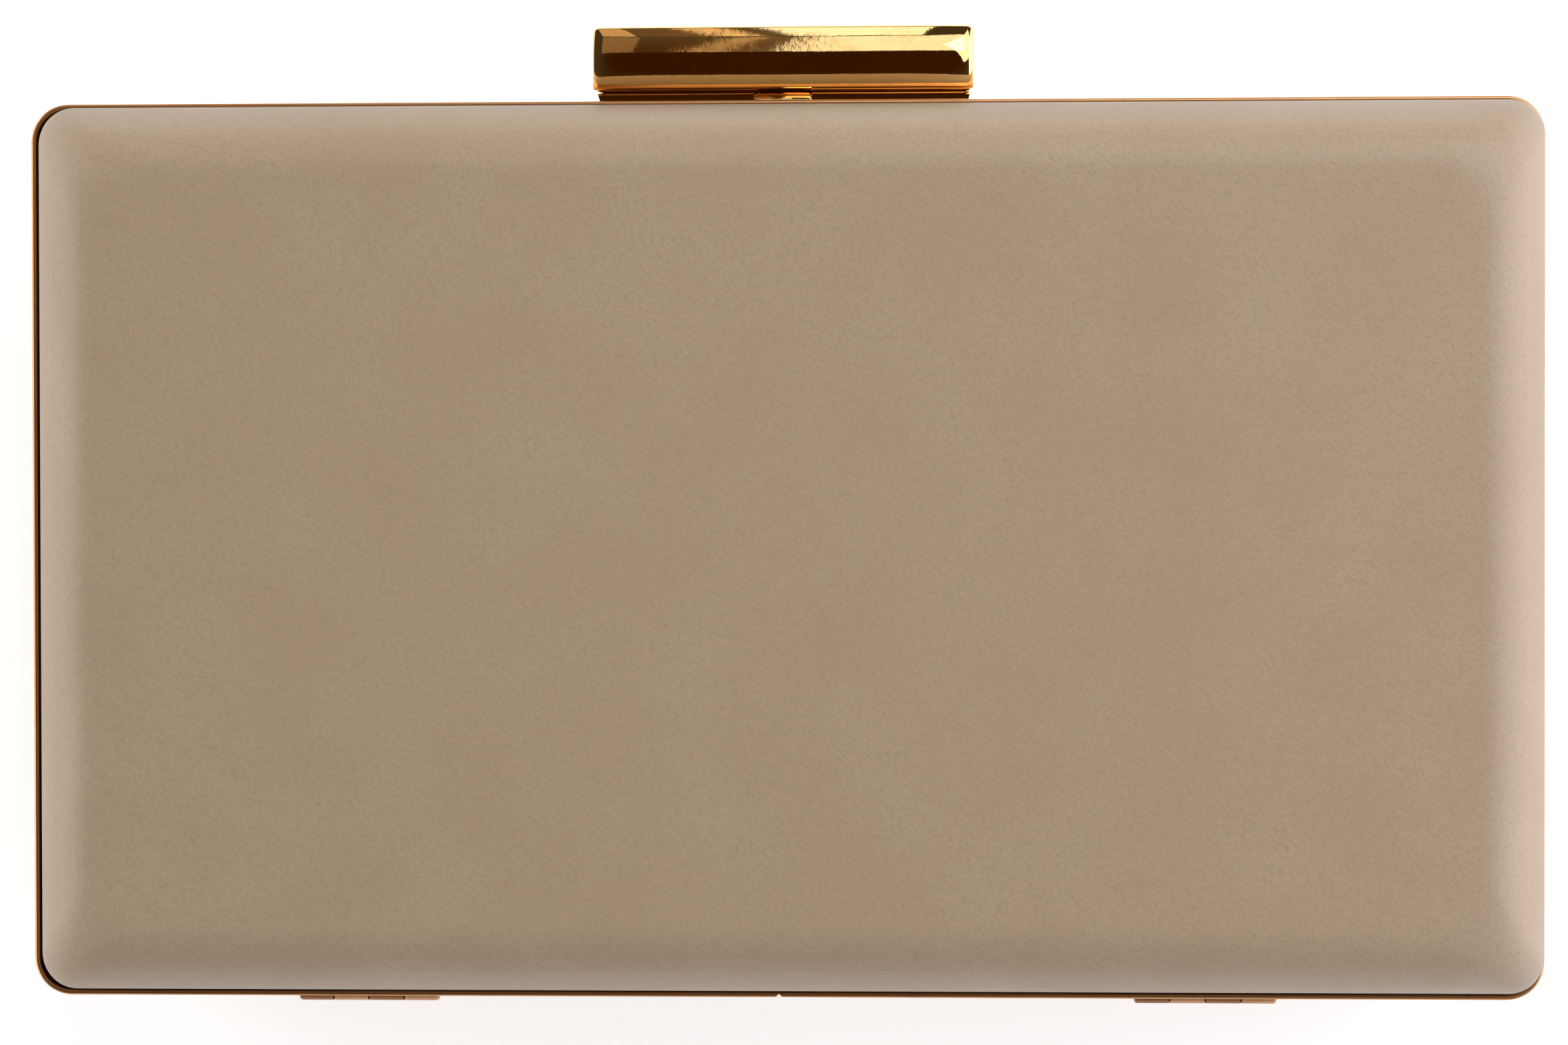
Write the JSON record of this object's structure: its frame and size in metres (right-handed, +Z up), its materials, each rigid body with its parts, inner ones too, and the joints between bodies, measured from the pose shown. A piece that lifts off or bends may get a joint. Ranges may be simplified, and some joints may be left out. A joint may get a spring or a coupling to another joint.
{
  "type": "hard-case box clutch bag",
  "caption": "Hard-case box clutch bag: leather-covered half shells with rolled borders in thin gold rims, hinged along one long edge and closed by a rounded gold bar clasp.",
  "frame": {"origin": "centre of the object's box, on the surface that the back panel rests on", "axes": "+X along the long edge, to the right as the front panel is seen with the clasp at the top; +Y from the hinges to the clasp; +Z up through the thickness, out of the front panel"},
  "size_m": [0.2, 0.1302, 0.045],
  "materials": {
    "taupe_leather": "fine-grained satin leather",
    "gold_metal": "polished gold plating"
  },
  "bodies": {
    "base": {"back_shell": "taupe_leather", "back_rim": "gold_metal", "hinge_left_back_leaf": "gold_metal", "hinge_left_pin": "gold_metal", "hinge_right_back_leaf": "gold_metal", "hinge_right_pin": "gold_metal", "clasp_foot": "gold_metal"},
    "lid": {"front_shell": "taupe_leather", "front_rim": "gold_metal", "hinge_left_front_leaf": "gold_metal", "hinge_right_front_leaf": "gold_metal", "clasp_striker": "gold_metal"},
    "clasp": {"clasp_bar": "gold_metal"}
  },
  "joints": [
    {"name": "lid_hinge", "type": "hinge", "parent": "base", "child": "lid", "pos_m": [0, -0.06363, 0.0225], "axis": [1, 0, 0], "range_deg": [0, 100]},
    {"name": "clasp_tilt", "type": "hinge", "parent": "base", "child": "clasp", "pos_m": [0, 0.05817, 0.0207], "axis": [-1, 0, 0], "range_deg": [0, 12], "stiffness_Nm_per_rad": 0.03, "springref_deg": -17.19}
  ]
}
